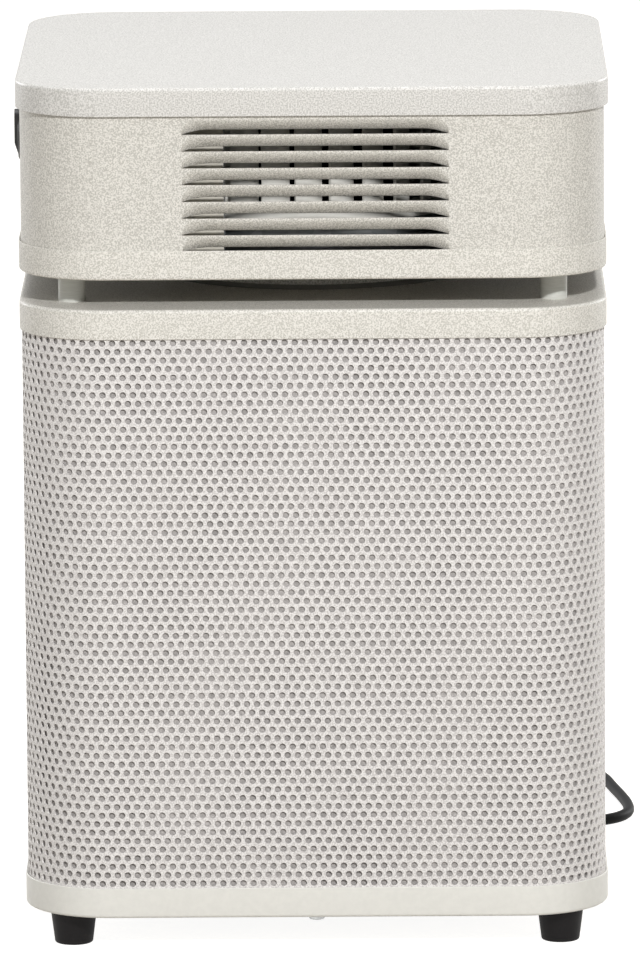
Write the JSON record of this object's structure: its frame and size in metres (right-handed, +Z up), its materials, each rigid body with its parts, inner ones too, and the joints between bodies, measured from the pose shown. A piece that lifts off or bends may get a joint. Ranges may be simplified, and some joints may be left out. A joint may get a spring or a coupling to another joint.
{
  "type": "air purifier",
  "caption": "Floor-standing room air purifier: a louvred steel fan head on corner posts over a square perforated body that holds a round filter cartridge.",
  "frame": {"origin": "centre of the square footprint on the floor", "axes": "+Z up, -Y towards the louvred front, +X to the right of someone who faces the front"},
  "size_m": [0.3046, 0.4357, 0.4127],
  "materials": {
    "powder_coat": "satin",
    "smooth_enamel": "satin",
    "white_plastic": "matte",
    "white_felt": "matte",
    "galvanised_steel": "satin",
    "black_enamel": "satin",
    "zinc_fasteners": "satin",
    "machined_steel": "satin",
    "motor_aluminium": "satin",
    "carbon_granules": "matte",
    "filter_paper": "matte",
    "dark_foam": "matte",
    "black_rubber": "matte",
    "black_plastic": "satin",
    "dial_aluminium": "satin",
    "black_pvc": "satin",
    "plug_brass": "polished"
  },
  "bodies": {
    "housing": {"lid": "powder_coat", "head_band": "powder_coat", "head_tray": "powder_coat", "neck_flange": "powder_coat", "neck_collar": "powder_coat", "body_cap": "powder_coat", "perforated_shell": "powder_coat", "outlet_frame": "powder_coat", "base_pan": "smooth_enamel", "spacer_posts": "white_plastic", "prefilter": "white_felt", "base_brackets": "galvanised_steel", "filter_outer_screen": "galvanised_steel", "filter_middle_screen": "galvanised_steel", "filter_core": "galvanised_steel", "filter_top_cap": "galvanised_steel", "filter_bottom_cap": "galvanised_steel", "scroll_wall": "galvanised_steel", "motor_plate": "galvanised_steel", "capacitor_clip": "galvanised_steel", "inlet_ring": "galvanised_steel", "fan_base_plate": "black_enamel", "lid_screws": "zinc_fasteners", "head_bolts": "zinc_fasteners", "head_nuts": "zinc_fasteners", "base_screws": "zinc_fasteners", "foot_screws": "zinc_fasteners", "foot_nuts": "zinc_fasteners", "fan_studs": "zinc_fasteners", "fan_nuts": "zinc_fasteners", "motor_screws": "zinc_fasteners", "switch_nut": "zinc_fasteners", "motor_bearings": "machined_steel", "motor_stator": "motor_aluminium", "capacitor": "motor_aluminium", "carbon_bed": "carbon_granules", "hepa_pack": "filter_paper", "filter_top_gasket": "dark_foam", "filter_bottom_gasket": "dark_foam", "inlet_seal": "dark_foam", "neck_seal": "dark_foam", "rubber_feet": "black_rubber", "fan_isolators": "black_rubber", "strain_relief": "black_rubber", "plug_body": "black_rubber", "rotary_switch": "black_plastic", "terminal_block": "black_plastic", "coil_tie": "black_plastic", "dial_plate": "dial_aluminium", "cord_lead": "black_pvc", "cord_coil": "black_pvc", "cord_tail": "black_pvc", "internal_wires": "black_pvc", "plug_blades": "plug_brass", "plug_pin": "plug_brass"},
    "fan": {"impeller": "white_plastic", "rotor_can": "black_enamel", "motor_shaft": "machined_steel"},
    "speed_control": {"speed_knob": "black_plastic", "switch_shaft": "machined_steel"}
  },
  "joints": [
    {"name": "fan_spin", "type": "hinge", "parent": "housing", "child": "fan", "pos_m": [0, 0, 0.37], "axis": [0, 0, 1], "continuous": true},
    {"name": "speed_knob_turn", "type": "hinge", "parent": "housing", "child": "speed_control", "pos_m": [-0.1377, 0.04, 0.3645], "axis": [1, 0, 0], "range_deg": [0, 135]}
  ]
}
